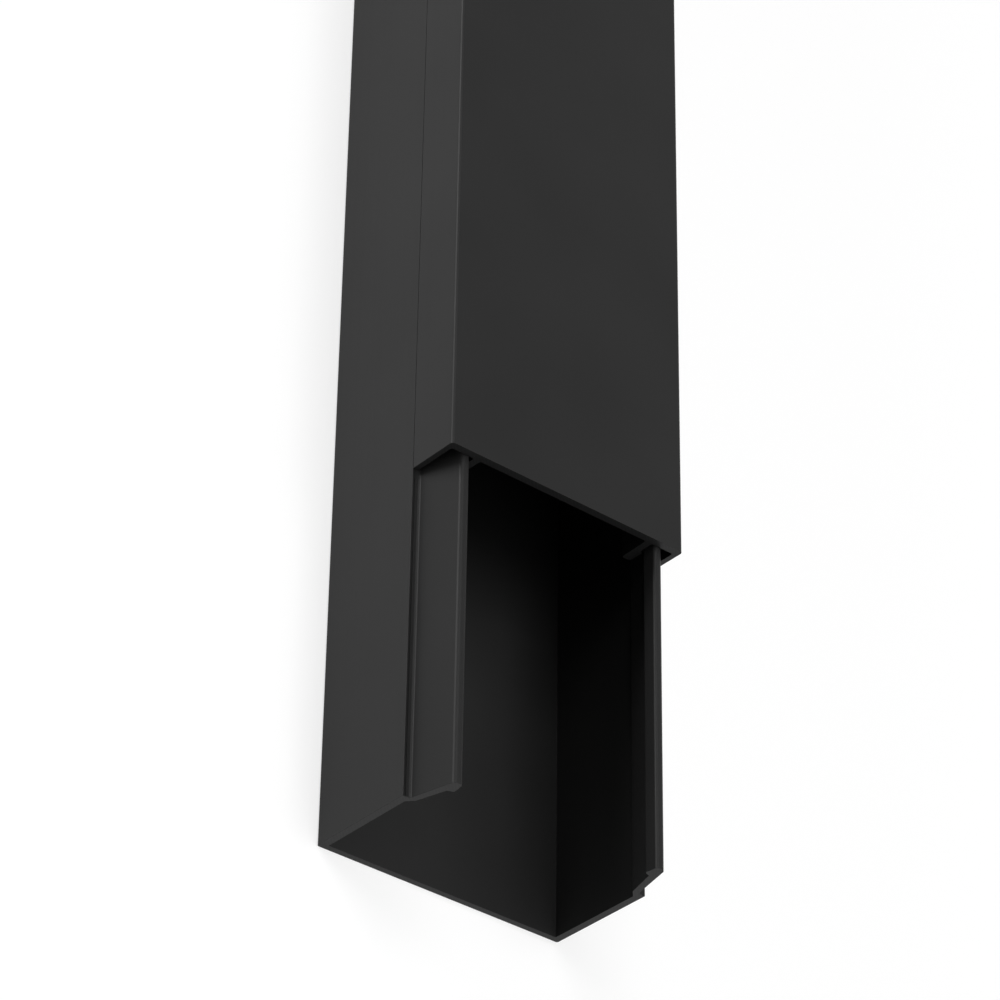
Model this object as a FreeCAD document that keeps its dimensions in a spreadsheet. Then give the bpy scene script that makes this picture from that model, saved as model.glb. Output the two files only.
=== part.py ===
import FreeCAD, Part
import os
import Sketcher

# A cord cover raceway: two extruded lengths of black rigid PVC, in millimetres.
# The base channel lies on its flat back, width along X, length along Y, open side up.
# The cover snaps over the channel's two upper walls and can slide along them.
# The origin is the middle of the base's back face.

SIZES = [
    # the whole raceway, and how far the cover is slid back from the channel's near end
    ("overall_width", 40.0),
    ("overall_depth", 25.4),
    ("base_length", 400.0),
    ("cover_length", 400.0),
    ("cover_setback", 48.6),
    # walls of the base channel; the upper one, measured level at its foot and under the barb
    ("floor_wall", 1.0),
    ("side_wall", 1.15),
    ("upper_wall", 0.98),
    ("neck_wall", 1.2),
    # shoulder under the cover's leg, with a shallow groove behind its lip
    ("shoulder_width", 1.12),
    ("lip_width", 0.12),
    ("groove_width", 0.3),
    ("groove_depth", 0.1),
    # leaning neck of the upper wall, and the inner step that leads to it
    ("neck_height", 4.45),
    ("upper_lean", 1.57),
    ("step_drop", 1.05),
    ("step_height", 1.0),
    # barbed head on top of the neck
    ("head_height", 2.4),
    ("head_width", 1.29),
    ("nose_reach", 0.3),
    ("nose_drop", 2.05),
    # walls of the cover
    ("face_wall", 1.2),
    ("leg_wall", 0.85),
    # hooked finger inside the cover
    ("finger_root", 1.15),
    ("finger_tip", 0.95),
    ("hook_reach", 0.6),
    ("hook_height", 0.25),
    ("hook_length", 2.5),
    ("hook_taper", 0.1),
    # clearances: under the cover, beside the barbs and between the barbs
    ("seat_gap", 0.05),
    ("latch_gap", 0.25),
    ("catch_gap", 0.15),
    # rounded corners
    ("back_radius", 0.3),
    ("floor_radius", 0.1),
    ("lip_radius", 0.06),
    ("foot_radius", 0.4),
    ("head_radius", 0.7),
    ("crown_radius", 0.5),
    ("nose_radius", 0.3),
    ("inside_radius", 0.3),
    ("face_radius", 0.55),
    ("leg_radius", 0.1),
    ("hook_radius", 0.12),
    ("toe_radius", 0.35),
]

doc = FreeCAD.newDocument("raceway")
sheet = doc.addObject("Spreadsheet::Sheet", "size")
for row, (alias, value) in enumerate(SIZES, start=1):
    sheet.set("A%d" % row, alias)
    sheet.set("B%d" % row, str(value))
    sheet.setAlias("B%d" % row, alias)
doc.recompute()

# Heights above the back face and distances from the middle that both pieces share.
HALF_WIDTH = "size.overall_width / 2"
HEAD_TOP = "(size.overall_depth - size.face_wall - size.seat_gap)"
BARB_UNDER = "(" + HEAD_TOP + " - size.head_height)"
SHOULDER = "(" + BARB_UNDER + " - size.neck_height)"
LEAN_RATE = "(size.upper_lean / (size.neck_height + size.head_height))"
HEAD_OUTER = "(" + HALF_WIDTH + " - size.shoulder_width - size.upper_lean)"
NOSE = "(" + HEAD_OUTER + " - size.head_width - size.nose_reach)"

# In an outline, SAME keeps the value of the corner before and MIDDLE lies on an axis.
SAME = "same"
MIDDLE = "middle"


def origin_plane(body, role):
    for feature in body.Origin.OriginFeatures:
        if feature.Role == role:
            return feature


def half_section(body, name, corners):
    """Draw a closed outline from corners given as (name, distance across, height)."""
    sketch = body.newObject("Sketcher::SketchObject", name)
    sketch.AttachmentSupport = [(origin_plane(body, "XZ_Plane"), "")]
    sketch.MapMode = "FlatFace"
    points = []
    for _, *rules in corners:
        place = []
        for axis, rule in enumerate(rules):
            if rule == SAME:
                place.append(points[-1][axis])
            elif rule == MIDDLE:
                place.append(0.0)
            else:
                place.append(float(sketch.evalExpression(rule)))
        points.append(FreeCAD.Vector(place[0], place[1], 0))
    for line, start in enumerate(points):
        end = points[(line + 1) % len(points)]
        sketch.addGeometry(Part.LineSegment(start, end), False)
    for line in range(len(points)):
        following = (line + 1) % len(points)
        sketch.addConstraint(Sketcher.Constraint("Coincident", line, 2, following, 1))
    for line, (corner, across, up) in enumerate(corners):
        if across == MIDDLE:
            sketch.addConstraint(Sketcher.Constraint("PointOnObject", line, 1, -2))
        elif across == SAME:
            sketch.addConstraint(Sketcher.Constraint("Vertical", line - 1))
        else:
            dimension(sketch, "DistanceX", line, corner + "_across", across)
        if up == MIDDLE:
            sketch.addConstraint(Sketcher.Constraint("PointOnObject", line, 1, -1))
        elif up == SAME:
            sketch.addConstraint(Sketcher.Constraint("Horizontal", line - 1))
        else:
            dimension(sketch, "DistanceY", line, corner + "_up", up)
    doc.recompute()
    return sketch


def dimension(sketch, kind, line, name, rule):
    """Dimension the start of a line from the origin and bind it to the sheet."""
    start = sketch.evalExpression(rule)
    mark = sketch.addConstraint(Sketcher.Constraint(kind, -1, 1, line, 1, float(start)))
    sketch.renameConstraint(mark, name)
    sketch.setExpression("Constraints." + name, rule)


def extrude_both_sides(body, sketch, length):
    """Pad the half section along the stock, half each way, and mirror it."""
    pad = body.newObject("PartDesign::Pad", sketch.Name + "_pad")
    pad.Profile = sketch
    pad.SideType = "Symmetric"
    pad.setExpression("Length", length)
    doc.recompute()
    mirror = body.newObject("PartDesign::Mirrored", sketch.Name + "_mirror")
    mirror.Originals = [pad]
    mirror.MirrorPlane = (origin_plane(body, "YZ_Plane"), [""])
    body.Tip = mirror
    doc.recompute()
    return mirror


def round_corners(body, sketch, corners, radius, names):
    """Round the long edges at the named corners of the outline, on both sides."""
    places = []
    for line, (corner, _, _) in enumerate(corners):
        if corner in names:
            places.append(sketch.getPoint(line, 1))
    base = body.Tip
    edges = []
    for number, edge in enumerate(base.Shape.Edges, start=1):
        middle = edge.CenterOfMass
        lengthwise = len(edge.Vertexes) == 2 and edge.BoundBox.YLength > 0.99 * edge.Length
        for place in places:
            offset = abs(abs(middle.x) - place.x) + abs(middle.z - place.y)
            if lengthwise and offset < 1e-4:
                edges.append("Edge%d" % number)
    fillet = body.newObject("PartDesign::Fillet", sketch.Name + "_" + "_".join(names))
    fillet.Base = (base, edges)
    fillet.setExpression("Radius", radius)
    body.Tip = fillet
    doc.recompute()


# Base channel: one extruded U with thin leaning upper walls. Each ends in a head whose
# barb points inwards, and the cover's leg stands on the shoulder outside it.
base = doc.addObject("PartDesign::Body", "base_channel")
base.Label = "base_channel"
base_corners = [
    ("back_middle", MIDDLE, MIDDLE),
    ("back_edge", HALF_WIDTH, SAME),
    ("lip_edge", SAME, SHOULDER),
    ("lip_inner", HALF_WIDTH + " - size.lip_width", SAME),
    ("groove_low", HALF_WIDTH + " - size.lip_width - size.groove_width", SHOULDER + " - size.groove_depth"),
    ("groove_inner", SAME, SHOULDER),
    ("wall_foot", HALF_WIDTH + " - size.shoulder_width", SAME),
    ("head_outer", HEAD_OUTER, HEAD_TOP),
    ("crown", HEAD_OUTER + " - size.head_width", SAME),
    ("nose", NOSE, HEAD_TOP + " - size.nose_drop"),
    (
        "barb_root",
        HALF_WIDTH + " - size.shoulder_width - size.neck_height * " + LEAN_RATE + " - size.neck_wall",
        BARB_UNDER,
    ),
    (
        "step_top",
        HALF_WIDTH + " - size.shoulder_width - (size.step_height - size.step_drop) * " + LEAN_RATE
        + " - size.upper_wall",
        SHOULDER + " - size.step_drop + size.step_height",
    ),
    ("step_low", HALF_WIDTH + " - size.side_wall", SHOULDER + " - size.step_drop"),
    ("floor_edge", SAME, "size.floor_wall"),
    ("floor_middle", MIDDLE, SAME),
]
base_sketch = half_section(base, "base_section", base_corners)
extrude_both_sides(base, base_sketch, "size.base_length")
round_corners(base, base_sketch, base_corners, "size.back_radius", ["back_edge"])
round_corners(base, base_sketch, base_corners, "size.lip_radius", ["lip_edge"])
# The foot's round stays on the flat strip between the groove and the wall.
FOOT_ROUND = "min(size.foot_radius; size.shoulder_width - size.lip_width - size.groove_width)"
round_corners(base, base_sketch, base_corners, FOOT_ROUND, ["wall_foot"])
round_corners(base, base_sketch, base_corners, "size.head_radius", ["head_outer"])
round_corners(base, base_sketch, base_corners, "size.crown_radius", ["crown"])
round_corners(base, base_sketch, base_corners, "size.nose_radius", ["nose"])
round_corners(base, base_sketch, base_corners, "size.inside_radius", ["step_top", "step_low"])
round_corners(base, base_sketch, base_corners, "size.floor_radius", ["floor_edge"])

# Cover: one extruded wide U. Its legs stand on the channel's shoulders, flush with the
# sides, and its two fingers hang inside the heads and hook under their barbs.
cover = doc.addObject("PartDesign::Body", "cover")
cover.Label = "cover"
FACE_UNDER = "size.overall_depth - size.face_wall"
FINGER_OUTER = "(" + NOSE + " - size.latch_gap)"
HOOK_NECK = "(" + HEAD_TOP + " - size.nose_drop - size.catch_gap)"
HOOK_POINT = "(" + HOOK_NECK + " - size.hook_height)"
cover_corners = [
    ("face_middle", MIDDLE, "size.overall_depth"),
    ("face_edge", HALF_WIDTH, SAME),
    ("leg_outer", SAME, SHOULDER + " + size.seat_gap"),
    ("leg_inner", HALF_WIDTH + " - size.leg_wall", SAME),
    ("leg_root", SAME, FACE_UNDER),
    ("finger_outer_root", FINGER_OUTER, SAME),
    ("hook_neck", SAME, HOOK_NECK),
    ("hook_point", FINGER_OUTER + " + size.hook_reach", HOOK_POINT),
    ("hook_toe", FINGER_OUTER + " + size.hook_reach - size.hook_taper", HOOK_POINT + " - size.hook_length"),
    ("finger_end", FINGER_OUTER + " - size.finger_tip", SAME),
    ("finger_inner_root", FINGER_OUTER + " - size.finger_root", FACE_UNDER),
    ("under_middle", MIDDLE, SAME),
]
cover_sketch = half_section(cover, "cover_section", cover_corners)
extrude_both_sides(cover, cover_sketch, "size.cover_length")
round_corners(cover, cover_sketch, cover_corners, "size.face_radius", ["face_edge"])
round_corners(cover, cover_sketch, cover_corners, "size.leg_radius", ["leg_outer", "leg_inner"])
round_corners(
    cover, cover_sketch, cover_corners, "size.inside_radius",
    ["leg_root", "finger_outer_root", "finger_inner_root"],
)
round_corners(cover, cover_sketch, cover_corners, "size.hook_radius", ["hook_point"])
round_corners(cover, cover_sketch, cover_corners, "size.toe_radius", ["hook_toe", "finger_end"])
# The cover is shown slid back from the channel's near end.
cover.setExpression(
    "Placement.Base.y",
    "size.cover_setback + (size.cover_length - size.base_length) / 2",
)
doc.recompute()

for item in doc.Objects:
    if "Invalid" in item.State or "Error" in item.State:
        raise RuntimeError(item.Name + " did not build: " + str(item.State))
os.makedirs("parts", exist_ok=True)
for body in (base, cover):
    shape = body.Shape
    if shape.isNull() or not shape.isValid() or len(shape.Solids) != 1:
        raise RuntimeError(body.Label + " is not one valid solid")
    shape.exportStep("parts/" + body.Label + ".step")
    print(body.Label, "volume", round(shape.Volume / 1000, 2), "cm3", shape.BoundBox)
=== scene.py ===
import math

import bmesh
import bpy
from mathutils import Matrix, Vector


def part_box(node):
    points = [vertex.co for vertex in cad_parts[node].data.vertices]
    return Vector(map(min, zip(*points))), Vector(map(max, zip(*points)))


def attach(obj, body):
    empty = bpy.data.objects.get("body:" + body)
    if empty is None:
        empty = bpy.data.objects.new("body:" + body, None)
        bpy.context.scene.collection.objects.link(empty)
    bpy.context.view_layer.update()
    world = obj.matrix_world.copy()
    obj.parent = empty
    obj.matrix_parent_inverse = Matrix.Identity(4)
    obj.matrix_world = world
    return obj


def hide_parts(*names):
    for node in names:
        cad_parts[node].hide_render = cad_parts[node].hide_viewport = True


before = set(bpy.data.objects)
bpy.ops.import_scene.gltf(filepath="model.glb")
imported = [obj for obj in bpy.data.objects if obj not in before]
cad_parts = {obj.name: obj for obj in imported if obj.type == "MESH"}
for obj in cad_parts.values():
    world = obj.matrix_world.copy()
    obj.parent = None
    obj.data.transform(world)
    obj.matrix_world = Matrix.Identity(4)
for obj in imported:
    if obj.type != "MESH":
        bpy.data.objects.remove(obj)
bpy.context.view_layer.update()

# Base channel: the half that is taped or screwed to the wall, a U of black rigid PVC that comes
# out of the die as one long profile and is sawn to length. Its thin upper walls lean inwards and
# end in the barbs that hold the cover.
mm = 0.001
base_low, base_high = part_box("base_channel")
cover_low, cover_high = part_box("cover")
half_width = base_high.x
head_top = base_high.z
floor_wall = 1.0 * mm
side_wall = 1.15 * mm
upper_wall = 0.98 * mm  # level, at the foot of the leaning wall
neck_wall = 1.2 * mm  # level, under the barb
seat_gap = 0.05 * mm  # between the shoulder and the cover's leg
shoulder = cover_low.z - seat_gap
shoulder_width = 1.12 * mm
lip_width = 0.12 * mm  # a fine lip along the shoulder's outer edge, with a groove beside it
groove_width = 0.3 * mm
groove_depth = 0.1 * mm
upper_lean = 1.57 * mm  # how far the upper wall leans in between the shoulder and its top
step_drop = 1.05 * mm  # from the shoulder down to the foot of the step inside the wall
step_height = 1.0 * mm
head_height = 2.4 * mm
head_width = 1.29 * mm
nose_reach = 0.3 * mm  # how far the barb's nose stands in past the head
nose_drop = 2.05 * mm  # from the head's top down to the nose
back_round = 0.3 * mm
lip_round = 0.06 * mm
wall_foot_round = 0.4 * mm
head_outer_round = 0.7 * mm
head_inner_round = 0.5 * mm
nose_round = 0.3 * mm
inside_round = 0.3 * mm
floor_round = 0.03 * mm

barb_under = head_top - head_height
lean_rate = upper_lean / (head_top - shoulder)
head_outer = half_width - shoulder_width - upper_lean
nose = head_outer - head_width - nose_reach
groove_inner = half_width - lip_width - groove_width
step_low = shoulder - step_drop
step_top = step_low + step_height
wall_foot = half_width - shoulder_width

# Half of the section, from the middle of the back round to the middle of the floor:
# each corner is (distance across, height, radius of its round).
base_corners = [
    (0, 0, 0),
    (half_width, 0, back_round),
    (half_width, shoulder, lip_round),
    (half_width - lip_width, shoulder, 0),
    (groove_inner, shoulder - groove_depth, 0),
    (groove_inner, shoulder, 0),
    (wall_foot, shoulder, wall_foot_round),
    (head_outer, head_top, head_outer_round),
    (head_outer - head_width, head_top, head_inner_round),
    (nose, head_top - nose_drop, nose_round),
    (wall_foot - (barb_under - shoulder) * lean_rate - neck_wall, barb_under, 0),
    (wall_foot - (step_top - shoulder) * lean_rate - upper_wall, step_top, inside_round),
    (half_width - side_wall, step_low, inside_round),
    (half_width - side_wall, floor_wall, floor_round),
    (0, floor_wall, 0),
]


def extrusion(name, corners, near_end, far_end):
    """Draw half a section, round its corners, mirror it, and extrude it with deburred sawn ends."""
    round_steps = 10
    deburr = 0.02 * mm
    mirror_join = 0.001 * mm
    sharp_from = math.radians(30)
    bm = bmesh.new()
    outline = [bm.verts.new((across, near_end + deburr, up)) for across, up, _ in corners]
    for start, end in zip(outline, outline[1:]):
        bm.edges.new((start, end))
    for corner, (_, _, radius) in zip(outline, corners):
        if radius:
            one_way, other_way = [
                edge.other_vert(corner).co - corner.co for edge in corner.link_edges
            ]
            # A round of this radius meets both edges this far from their corner.
            setback = radius / math.tan(one_way.angle(other_way) / 2)
            bmesh.ops.bevel(
                bm, geom=[corner], offset=setback, offset_type="OFFSET", segments=round_steps,
                profile=0.5, affect="VERTICES", material=-1,
            )
    bmesh.ops.mirror(bm, geom=bm.verts[:] + bm.edges[:], axis="X", merge_dist=mirror_join)
    bmesh.ops.contextual_create(bm, geom=bm.edges[:])
    extruded = bmesh.ops.extrude_face_region(bm, geom=bm.faces[:], use_keep_orig=True)["geom"]
    far_verts = [part for part in extruded if isinstance(part, bmesh.types.BMVert)]
    bmesh.ops.translate(bm, verts=far_verts, vec=(0, far_end - near_end - 2 * deburr, 0))
    bmesh.ops.recalc_face_normals(bm, faces=bm.faces[:])
    # The strips along the length have four corners, and only the two ends have more.
    sawn_ends = [face for face in bm.faces if len(face.verts) > 4]
    chamfers = bmesh.ops.inset_region(
        bm, faces=sawn_ends, thickness=deburr, use_even_offset=True, use_boundary=True,
    )["faces"]
    for face in sawn_ends:
        bmesh.ops.translate(bm, verts=face.verts[:], vec=face.normal * deburr)
    for face in bm.faces:
        face.smooth = True
    for face in sawn_ends + chamfers:
        face.smooth = False
        face.material_index = 1  # the second material, the sawn one
    mesh = bpy.data.meshes.new(name)
    bm.to_mesh(mesh)
    bm.free()
    mesh.set_sharp_from_angle(angle=sharp_from)
    piece = bpy.data.objects.new(name, mesh)
    bpy.context.scene.collection.objects.link(piece)
    even = piece.modifiers.new("even_faces", "WEIGHTED_NORMAL")
    even.keep_sharp = True
    return piece


def colour(hex_code):
    """Turn an sRGB hex code into the linear colour that a shader takes."""
    channels = [int(hex_code[place:place + 2], 16) / 255 for place in (1, 3, 5)]
    linear = [c / 12.92 if c <= 0.04045 else ((c + 0.055) / 1.055) ** 2.4 for c in channels]
    return (*linear, 1.0)


def empty_tree(owner):
    """Give a material or a world a node tree with nothing in it."""
    owner.use_nodes = True
    owner.node_tree.nodes.clear()
    return owner.node_tree


def add_node(tree, kind, settings, links=None):
    """Add a node, set its inputs or properties, and feed its inputs from other nodes' outputs."""
    node = tree.nodes.new(kind)
    for key, value in settings.items():
        if isinstance(key, int) or key in node.inputs:
            node.inputs[key].default_value = value
        else:
            setattr(node, key, value)
    for key, output in (links or {}).items():
        tree.links.new(output, node.inputs[key])
    return node


# Extruded rigid PVC, through-coloured black. The sizing sleeve leaves a satin skin with hair-fine
# lines that run the whole length and a very faint grain, so it shows soft edges of light and no
# mirror image.
extruded_pvc = bpy.data.materials.new("extruded_black_pvc")
tree = empty_tree(extruded_pvc)
place = add_node(tree, "ShaderNodeTexCoord", {})
noise_low, noise_high = 0.3, 0.7  # a noise node's values lie mostly between these
# The real lines are about 0.1 mm apart. They are drawn 0.4 mm apart so that they can show.
line_spacing = 0.4 * mm
line_length = 300 * mm
along_stock = add_node(
    tree, "ShaderNodeMapping", {"Scale": (1 / line_spacing, 1 / line_length, 1 / line_spacing)},
    {"Vector": place.outputs["Object"]},
)
die_lines = add_node(
    tree, "ShaderNodeTexNoise", {"Scale": 1.0, "Detail": 2.0, "Roughness": 0.5},
    {"Vector": along_stock.outputs["Vector"]},
)
# The real grain is about 0.1 mm. It is drawn 0.35 mm so that it can show.
grain_size = 0.35 * mm
grain = add_node(
    tree, "ShaderNodeTexNoise", {"Scale": 1 / grain_size, "Detail": 3.0, "Roughness": 0.6},
    {"Vector": place.outputs["Object"]},
)
# The pigment isn't mixed quite evenly, so patches as large as a thumb are a hair paler.
cloud_size = 25 * mm
clouds = add_node(
    tree, "ShaderNodeTexNoise", {"Scale": 1 / cloud_size, "Detail": 2.0, "Roughness": 0.5},
    {"Vector": place.outputs["Object"]},
)
skin_colour = add_node(tree, "ShaderNodeValToRGB", {}, {"Fac": clouds.outputs["Fac"]})
skin_colour.color_ramp.elements[0].position = noise_low
skin_colour.color_ramp.elements[0].color = colour("#1b1b1b")
skin_colour.color_ramp.elements[1].position = noise_high
skin_colour.color_ramp.elements[1].color = colour("#1f1f1f")
skin_roughness = add_node(
    tree, "ShaderNodeMapRange",
    {"From Min": noise_low, "From Max": noise_high, "To Min": 0.44, "To Max": 0.46},
    {"Value": die_lines.outputs["Fac"]},
)
line_relief = add_node(
    tree, "ShaderNodeBump", {"Strength": 0.03, "Distance": 0.02 * mm},
    {"Height": die_lines.outputs["Fac"]},
)
grain_relief = add_node(
    tree, "ShaderNodeBump", {"Strength": 0.12, "Distance": 0.03 * mm},
    {"Height": grain.outputs["Fac"], "Normal": line_relief.outputs["Normal"]},
)
# PVC's own IOR is about 1.53. 1.24 matches how little this skin mirrors at a low angle.
skin = add_node(
    tree, "ShaderNodeBsdfPrincipled", {"IOR": 1.24},
    {
        "Base Color": skin_colour.outputs["Color"],
        "Roughness": skin_roughness.outputs["Result"],
        "Normal": grain_relief.outputs["Normal"],
    },
)
add_node(tree, "ShaderNodeOutputMaterial", {}, {"Surface": skin.outputs["BSDF"]})

# The same PVC where a fine circular saw cut it: a flat, duller face with a greyer smear and faint
# parallel saw marks. Its IOR is matched in the same way.
sawn_pvc = bpy.data.materials.new("sawn_black_pvc")
tree = empty_tree(sawn_pvc)
place = add_node(tree, "ShaderNodeTexCoord", {})
# The wave runs slantwise, along x + z, where 0.6 mm is 0.42 mm across the cut. The real marks
# are about 0.2 mm apart, and these are drawn coarser so that they can show.
mark_step = 0.6 * mm
wave_turn = 10  # radians that the slanting wave turns for each unit of x + y + z
saw_marks = add_node(
    tree, "ShaderNodeTexWave",
    {
        "bands_direction": "DIAGONAL", "Scale": 2 * math.pi / (wave_turn * mark_step),
        "Distortion": 1.5, "Detail": 2.0, "Detail Scale": 1.5,
    },
    {"Vector": place.outputs["Object"]},
)
saw_relief = add_node(
    tree, "ShaderNodeBump", {"Strength": 0.15, "Distance": 0.02 * mm},
    {"Height": saw_marks.outputs["Fac"]},
)
cut_colour = add_node(tree, "ShaderNodeValToRGB", {}, {"Fac": saw_marks.outputs["Fac"]})
cut_colour.color_ramp.elements[0].color = colour("#1c1c1c")
cut_colour.color_ramp.elements[1].color = colour("#222222")
cut = add_node(
    tree, "ShaderNodeBsdfPrincipled", {"IOR": 1.27, "Roughness": 0.5},
    {"Base Color": cut_colour.outputs["Color"], "Normal": saw_relief.outputs["Normal"]},
)
add_node(tree, "ShaderNodeOutputMaterial", {}, {"Surface": cut.outputs["BSDF"]})

channel = extrusion("channel_extrusion", base_corners, base_low.y, base_high.y)
channel.data.materials.append(extruded_pvc)
channel.data.materials.append(sawn_pvc)
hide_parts("base_channel")
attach(channel, "base")

# Cover: the front that snaps over the channel, a wide shallow U of the same PVC, extruded and
# sawn the same way. Its legs stand on the channel's shoulders and its two hooked fingers catch
# under the barbs.
face_wall = 1.2 * mm
leg_wall = 0.85 * mm
finger_root = 1.15 * mm
finger_tip = 0.95 * mm
hook_reach = 0.6 * mm
hook_height = 0.25 * mm
hook_length = 2.5 * mm
hook_taper = 0.1 * mm
latch_gap = 0.25 * mm  # beside the barb's nose
catch_gap = 0.15 * mm  # under the barb's nose
front_round = 0.55 * mm
leg_round = 0.1 * mm
hook_round = 0.12 * mm
toe_round = 0.35 * mm

face_under = cover_high.z - face_wall
finger_outer = nose - latch_gap
hook_neck = head_top - nose_drop - catch_gap
hook_point = hook_neck - hook_height
hook_toe = hook_point - hook_length

# Half of the section, from the middle of the front round to the middle of its underside.
cover_corners = [
    (0, cover_high.z, 0),
    (half_width, cover_high.z, front_round),
    (half_width, cover_low.z, leg_round),
    (half_width - leg_wall, cover_low.z, leg_round),
    (half_width - leg_wall, face_under, inside_round),
    (finger_outer, face_under, inside_round),
    (finger_outer, hook_neck, 0),
    (finger_outer + hook_reach, hook_point, hook_round),
    (finger_outer + hook_reach - hook_taper, hook_toe, toe_round),
    (finger_outer - finger_tip, hook_toe, toe_round),
    (finger_outer - finger_root, face_under, inside_round),
    (0, face_under, 0),
]
cover = extrusion("cover_extrusion", cover_corners, cover_low.y, cover_high.y)
cover.data.materials.append(extruded_pvc)
cover.data.materials.append(sawn_pvc)
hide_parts("cover")
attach(cover, "cover")

# Floor: a plain white studio table. It is seen as white and keeps the raceway's soft shadow, and
# it bounces light as pale card does.
floor_size = 8.0
floor_drop = 0.05 * mm
bm = bmesh.new()
bmesh.ops.create_grid(bm, x_segments=1, y_segments=1, size=floor_size / 2)
bmesh.ops.translate(bm, verts=bm.verts[:], vec=(0, 0, base_low.z - floor_drop))
floor_mesh = bpy.data.meshes.new("studio_floor")
bm.to_mesh(floor_mesh)
bm.free()
floor = bpy.data.objects.new("studio_floor", floor_mesh)
bpy.context.scene.collection.objects.link(floor)


def seen_rays(tree):
    """Give 1 for a ray that comes from the eye, straight, mirrored or through glass, or else 0."""
    rays = add_node(tree, "ShaderNodeLightPath", {})
    seen_or_mirrored = add_node(
        tree, "ShaderNodeMath", {"operation": "MAXIMUM"},
        {0: rays.outputs["Is Camera Ray"], 1: rays.outputs["Is Glossy Ray"]},
    )
    seen_any_way = add_node(
        tree, "ShaderNodeMath", {"operation": "MAXIMUM"},
        {0: seen_or_mirrored.outputs["Value"], 1: rays.outputs["Is Transmission Ray"]},
    )
    return seen_any_way.outputs["Value"]


# White card. Its glow and the lamps' light on its grey add up to white where it is seen, and a
# shadow takes away only the lamps' part, so it stays soft.
card_glow = 0.62
white_card = bpy.data.materials.new("white_card")
tree = empty_tree(white_card)
glow = add_node(
    tree, "ShaderNodeEmission", {"Color": colour("#ffffff"), "Strength": card_glow},
)
shadow_keeper = add_node(tree, "ShaderNodeBsdfDiffuse", {"Color": colour("#a8a8a8")})
seen_card = add_node(
    tree, "ShaderNodeAddShader", {},
    {0: glow.outputs["Emission"], 1: shadow_keeper.outputs["BSDF"]},
)
bouncing_card = add_node(tree, "ShaderNodeBsdfDiffuse", {"Color": colour("#e6e6e6")})
either_card = add_node(
    tree, "ShaderNodeMixShader", {},
    {0: seen_rays(tree), 1: bouncing_card.outputs["BSDF"], 2: seen_card.outputs["Shader"]},
)
add_node(tree, "ShaderNodeOutputMaterial", {}, {"Surface": either_card.outputs["Shader"]})
floor.data.materials.append(white_card)

# Room: a white studio all round. It is white at eye level and greyer above, both seen and
# mirrored, and it fills the shadows a little.
eye_level, ceiling_level = 0.1, 0.4  # how steeply up a ray goes, from 0 level to 1 straight up
eye_level_white = 1.0
ceiling_grey = 0.6
shadow_fill = 0.02
room = bpy.data.worlds.new("white_room")
bpy.context.scene.world = room
tree = empty_tree(room)
place = add_node(tree, "ShaderNodeTexCoord", {})
direction = add_node(tree, "ShaderNodeSeparateXYZ", {}, {"Vector": place.outputs["Generated"]})
wall_white = add_node(
    tree, "ShaderNodeMapRange",
    {
        "From Min": eye_level, "From Max": ceiling_level,
        "To Min": eye_level_white, "To Max": ceiling_grey,
    },
    {"Value": direction.outputs["Z"]},
)
seen_room = add_node(
    tree, "ShaderNodeBackground", {"Color": colour("#ffffff")},
    {"Strength": wall_white.outputs["Result"]},
)
fill = add_node(
    tree, "ShaderNodeBackground", {"Color": colour("#ffffff"), "Strength": shadow_fill},
)
either_room = add_node(
    tree, "ShaderNodeMixShader", {},
    {0: seen_rays(tree), 1: fill.outputs["Background"], 2: seen_room.outputs["Background"]},
)
add_node(tree, "ShaderNodeOutputWorld", {}, {"Surface": either_room.outputs["Shader"]})

# Soft boxes 2 to 3 m away, so that the light is even along the raceway: one overhead and one
# beside it give the plain level, one beyond the near end looks in under the cover, and two on
# the left behind the raceway, one low and one high, draw the pale lines along its rounded edges.
soft_boxes = {  # (place, width, height, watts), each turned to face the channel
    "overhead_box": (Vector((0, -0.3, 2.0)), 1.2, 1.2, 19.0),
    "right_box": (Vector((0.75, -0.2, 1.85)), 1.2, 1.2, 8.0),
    "near_box": (Vector((0.1, -1.3, 1.55)), 1.0, 1.0, 8.2),
    "low_edge_box": (Vector((-2.37, 1.8, 0.42)), 1.8, 0.82, 60.0),
    "high_edge_box": (Vector((-0.85, 0.65, 1.7)), 1.2, 0.55, 10.0),
}
for name, (box_at, wide, high, watts) in soft_boxes.items():
    lamp_data = bpy.data.lights.new(name, "AREA")
    lamp_data.shape = "RECTANGLE"
    lamp_data.size = wide
    lamp_data.size_y = high
    lamp_data.energy = watts
    lamp = bpy.data.objects.new(name, lamp_data)
    lamp.location = box_at
    lamp.rotation_euler = box_at.to_track_quat("Z", "Y").to_euler()
    lamp.visible_camera = False
    bpy.context.scene.collection.objects.link(lamp)

# Camera: a long lens above the near end and to the left, turned so that the raceway stands
# upright in the picture and runs out of its top.
camera_at = Vector((-0.29069, -0.44649, 0.3632))
looks_along = Vector((0.5309, 0.5516, -0.64334)).normalized()
picture_up = Vector((-0.36347, 0.834, 0.41513)).normalized()
picture_right = looks_along.cross(picture_up).normalized()
picture_up = picture_right.cross(looks_along)
camera_data = bpy.data.cameras.new("photo_camera")
camera_data.sensor_width = 36.0
camera_data.lens = 146.58
camera_data.clip_start = 0.01
camera = bpy.data.objects.new("photo_camera", camera_data)
turn = Matrix((picture_right, picture_up, -looks_along)).transposed()
camera.matrix_world = Matrix.Translation(camera_at) @ turn.to_4x4()
bpy.context.scene.collection.objects.link(camera)
bpy.context.scene.camera = camera

bpy.context.scene.view_settings.view_transform = "Standard"
